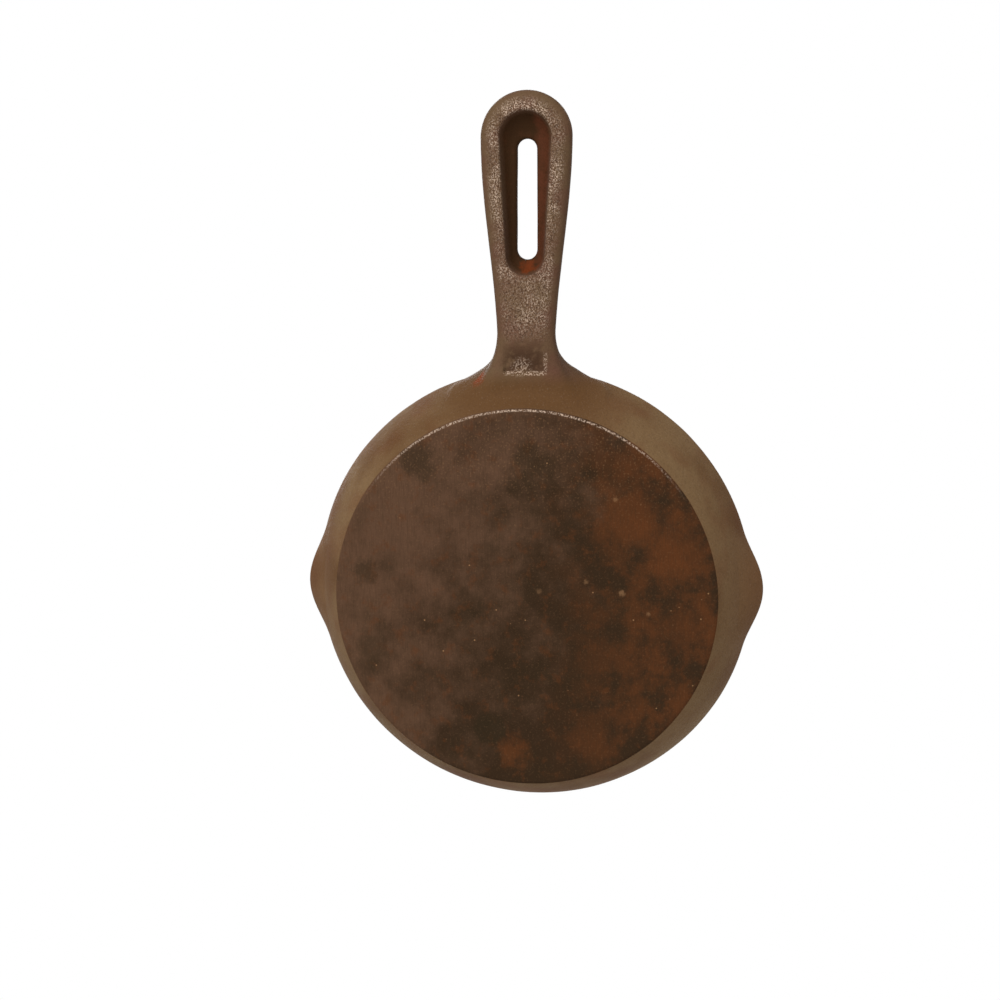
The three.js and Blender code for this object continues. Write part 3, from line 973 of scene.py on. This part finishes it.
# Gloss of the iron
IRON_ROUGHNESS = 0.62
BASE_ROUGHNESS = 0.75
COOKING_ROUGHNESS = 0.5
IRON_SPECULAR = 0.04

# How strongly the pebbled skin stands out, region by region
BUMP_HEIGHT = 0.2 * MM
WALL_PEBBLES = 0.6
HANDLE_PEBBLES = 0.9
CREST_PEBBLES = 1.1
BASE_PEBBLES = 0.5
COOKING_PEBBLES = 0.55
COARSE_SHARE = 0.8


def pebbled_height(finish, on_base, on_handle, cooking):
    """Height of the casting's fine pebbles, region by region."""
    coarse = finish.times(finish.patches(2.2), COARSE_SHARE)
    pebbles = finish.math("ADD", finish.patches(0.8, detail=3), coarse)
    depth = finish.blend(on_base, finish.blend(on_handle, WALL_PEBBLES, HANDLE_PEBBLES), BASE_PEBBLES)
    depth = finish.blend(finish.share(CREST), depth, CREST_PEBBLES)
    return finish.times(pebbles, finish.blend(cooking, depth, COOKING_PEBBLES))


def skillet_iron(sizes, colours):
    """The finish of the whole casting, made once."""
    name = "rusted_cast_iron"
    found = bpy.data.materials.get(name)
    if found:
        return found
    finish = Finish(name)
    on_base = finish.within(finish.z, full=0.3, stop=0.6)
    on_handle = finish.beyond(finish.x, start=71, full=78)
    cooking = finish.share(COOKING)

    shade = finish.lay(wall_colour(finish, colours), handle_colour(finish, colours), on_handle)
    shade = finish.lay(shade, colours.rust, finish.spot(RUST_BY_ROOT, RUST_RADIUS), share=0.75)
    shade = finish.lay(shade, base_colour(finish, colours), on_base)
    shade = finish.lay(shade, cooking_colour(finish, colours), cooking)
    shade = finish.lay(shade, colours.worn, worn_edge_and_highlight(finish, sizes))
    finish.put(finish.shader.inputs["Base Color"], shade)

    rough = finish.blend(on_base, IRON_ROUGHNESS, BASE_ROUGHNESS)
    finish.put(finish.shader.inputs["Roughness"], finish.blend(cooking, rough, COOKING_ROUGHNESS))
    finish.put(finish.shader.inputs["Specular IOR Level"], IRON_SPECULAR)
    height = pebbled_height(finish, on_base, on_handle, cooking)
    bump = {"Height": height, "Distance": BUMP_HEIGHT, "Strength": 1.0}
    finish.put(finish.shader.inputs["Normal"], finish.node("ShaderNodeBump", bump).outputs[0])
    return finish.material


class SkilletStage(bpy.types.PropertyGroup):
    """Levels of the studio's light. A share of one lights a surface so that it shows its own colour."""

    ambient: number("Ambient", "Light from all round", 0.4)
    key: number("Key", "Lamp below, from the handle's side", 0.66)
    fill: number("Fill", "Lamp below, on the other side", 0.12)
    above: number("Above", "Lamp above", 0.6)
    floor: colour("Floor", "Plain floor", "e8e6e2")


# Camera, below the skillet as it is seen
LENS = 64.8
CAMERA_PLACE = Vector((142.2, 77.4, -589.5)) * MM
CAMERA_AIM = Vector((32.1, -9.6, 12.0)) * MM
CAMERA_UP = Vector((1, 0.013, 0))
CLIP_START = 10 * MM

# Where each lamp stands, seen from the skillet, and how wide it looks
KEY_SIDE = Vector((0.7, -0.3, -0.65))
FILL_SIDE = Vector((-0.5, 0.35, -0.7))
ABOVE_SIDE = Vector((0.15, -0.25, 0.9))
LAMP_WIDTH = math.radians(40)
FLOOR_SIZE = 60.0
FLOOR_HEIGHT = -0.4 * MM
FLOOR_ROUGHNESS = 0.9


def facing(place, aim, up):
    """A matrix at a place that looks at an aim along its own -Z."""
    back = (place - aim).normalized()
    right = up.cross(back).normalized()
    turn = Matrix((right, back.cross(right), back)).transposed()
    return Matrix.Translation(place) @ turn.to_4x4()


def make_camera(scene):
    """The camera that looks up at the underside."""
    data = bpy.data.cameras.new("camera")
    data.lens = LENS
    data.clip_start = CLIP_START
    camera = bpy.data.objects.new("camera", data)
    camera.matrix_world = facing(CAMERA_PLACE, CAMERA_AIM, CAMERA_UP)
    scene.collection.objects.link(camera)
    scene.camera = camera


def make_lamp(scene, name, side, share):
    """A wide soft lamp, far off, that gives a surface facing it a share of full light."""
    data = bpy.data.lights.new(name, "SUN")
    data.angle = LAMP_WIDTH
    data.energy = share * math.pi
    lamp = bpy.data.objects.new(name, data)
    lamp.matrix_world = facing(side, Vector(), Vector((0, 1, 0)))
    scene.collection.objects.link(lamp)


def make_world(scene, ambient):
    """White where it is seen, mirrored or seen through glass, and an even dimmer light otherwise."""
    world = bpy.data.worlds.new("studio")
    world.use_nodes = True
    tree = world.node_tree
    back = tree.nodes["Background"]
    back.inputs["Color"].default_value = (1.0, 1.0, 1.0, 1.0)
    path = tree.nodes.new("ShaderNodeLightPath")
    seen = path.outputs["Is Camera Ray"]
    for output in ("Is Glossy Ray", "Is Transmission Ray"):
        either = tree.nodes.new("ShaderNodeMath")
        either.operation = "MAXIMUM"
        tree.links.new(seen, either.inputs[0])
        tree.links.new(path.outputs[output], either.inputs[1])
        seen = either.outputs[0]
    level = tree.nodes.new("ShaderNodeMix")
    tree.links.new(seen, level.inputs[0])
    level.inputs[2].default_value = ambient
    level.inputs[3].default_value = 1.0
    tree.links.new(level.outputs[0], back.inputs["Strength"])
    scene.world = world


def make_floor(scene, shade):
    """A plain floor that hides nothing from below."""
    half = FLOOR_SIZE / 2
    sides = ((-1, -1), (1, -1), (1, 1), (-1, 1))
    corners = [(x * half, y * half, FLOOR_HEIGHT) for x, y in sides]
    mesh = bpy.data.meshes.new("floor")
    mesh.from_pydata(corners, [], [(0, 1, 2, 3)])
    material = bpy.data.materials.new("plain_floor")
    material.use_nodes = True
    tree = material.node_tree
    shader = tree.nodes["Principled BSDF"]
    shader.inputs["Base Color"].default_value = (*shade, 1.0)
    shader.inputs["Roughness"].default_value = FLOOR_ROUGHNESS
    shader.inputs["Specular IOR Level"].default_value = 0.0
    clear = tree.nodes.new("ShaderNodeBsdfTransparent")
    side = tree.nodes.new("ShaderNodeNewGeometry")
    either = tree.nodes.new("ShaderNodeMixShader")
    tree.links.new(side.outputs["Backfacing"], either.inputs[0])
    tree.links.new(shader.outputs[0], either.inputs[1])
    tree.links.new(clear.outputs[0], either.inputs[2])
    tree.links.new(either.outputs[0], tree.nodes["Material Output"].inputs["Surface"])
    mesh.materials.append(material)
    floor = bpy.data.objects.new("floor", mesh)
    scene.collection.objects.link(floor)
    floor.visible_shadow = False
    floor.visible_diffuse = False
    floor.visible_glossy = False
    floor.visible_transmission = False


def cast(name, node, planes):
    """Makes one piece, dresses it and puts it in the frame."""
    scene = bpy.context.scene
    piece = piece_between(name, scene.skillet_sizes, planes)
    piece.data.materials.append(skillet_iron(scene.skillet_sizes, scene.skillet_colours))
    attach(piece, BODY)
    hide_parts(node)


class SKILLET_OT_stage(bpy.types.Operator):
    """Sets the floor, the lamps and the camera"""

    bl_idname = "skillet.stage"
    bl_label = "Stage"

    def execute(self, context):
        scene = context.scene
        stage = scene.skillet_stage
        scene.view_settings.view_transform = "Standard"
        make_camera(scene)
        make_world(scene, stage.ambient)
        make_floor(scene, stage.floor)
        make_lamp(scene, "key_lamp", KEY_SIDE, stage.key)
        make_lamp(scene, "fill_lamp", FILL_SIDE, stage.fill)
        make_lamp(scene, "lamp_above", ABOVE_SIDE, stage.above)
        return {"FINISHED"}


class SKILLET_OT_pan_floor(bpy.types.Operator):
    """Casts the flat bottom of the pan"""

    bl_idname = "skillet.pan_floor"
    bl_label = "Pan floor"

    def execute(self, context):
        cast("cast_pan_floor", "pan_floor", [(Z, FLOOR_TOP, 1)])
        return {"FINISHED"}


class SKILLET_OT_walls(bpy.types.Operator):
    """Casts the wall in front and the wall on the handle's side"""

    bl_idname = "skillet.walls"
    bl_label = "Walls"

    def execute(self, context):
        above = (Z, FLOOR_TOP, -1)
        behind = [above, (X, LIP_END, -1), (X, HANDLE_FROM, 1)]
        cast("cast_front_wall", "front_wall", [above, (X, -LIP_END, 1)])
        cast("cast_rear_wall", "rear_wall", behind)
        return {"FINISHED"}


class SKILLET_OT_pour_spouts(bpy.types.Operator):
    """Casts the pouring lip on each side"""

    bl_idname = "skillet.pour_spouts"
    bl_label = "Pouring lips"

    def execute(self, context):
        between = [(Z, FLOOR_TOP, -1), (X, -LIP_END, -1), (X, LIP_END, 1)]
        for side, outer in (("left", 1), ("right", -1)):
            node = side + "_pour_spout"
            cast("cast_" + node, node, [*between, (Y, 0.0, outer)])
        return {"FINISHED"}


class SKILLET_OT_handle(bpy.types.Operator):
    """Casts the handle with its slot and hollow"""

    bl_idname = "skillet.handle"
    bl_label = "Handle"

    def execute(self, context):
        cast("cast_handle", "handle", [(X, HANDLE_FROM, -1)])
        return {"FINISHED"}


OPERATORS = (
    SKILLET_OT_stage,
    SKILLET_OT_pan_floor,
    SKILLET_OT_walls,
    SKILLET_OT_pour_spouts,
    SKILLET_OT_handle,
)


class SKILLET_PT_panel(bpy.types.Panel):
    """Lists what makes the skillet"""

    bl_idname = "SKILLET_PT_panel"
    bl_label = "Egg skillet"
    bl_space_type = "VIEW_3D"
    bl_region_type = "UI"
    bl_category = "Skillet"

    def draw(self, context):
        for operator in OPERATORS:
            self.layout.operator(operator.bl_idname)


GROUPS = {
    "skillet_sizes": SkilletSizes,
    "skillet_colours": SkilletColours,
    "skillet_stage": SkilletStage,
}


def register():
    for group in (*GROUPS.values(), *OPERATORS, SKILLET_PT_panel):
        bpy.utils.register_class(group)
    for name, group in GROUPS.items():
        setattr(bpy.types.Scene, name, bpy.props.PointerProperty(type=group))


def unregister():
    for name in GROUPS:
        delattr(bpy.types.Scene, name)
    for group in (SKILLET_PT_panel, *reversed(OPERATORS), *GROUPS.values()):
        bpy.utils.unregister_class(group)


def main():
    register()
    bpy.ops.skillet.stage()
    bpy.ops.skillet.pan_floor()
    bpy.ops.skillet.walls()
    bpy.ops.skillet.pour_spouts()
    bpy.ops.skillet.handle()


if __name__ == "__main__":
    main()
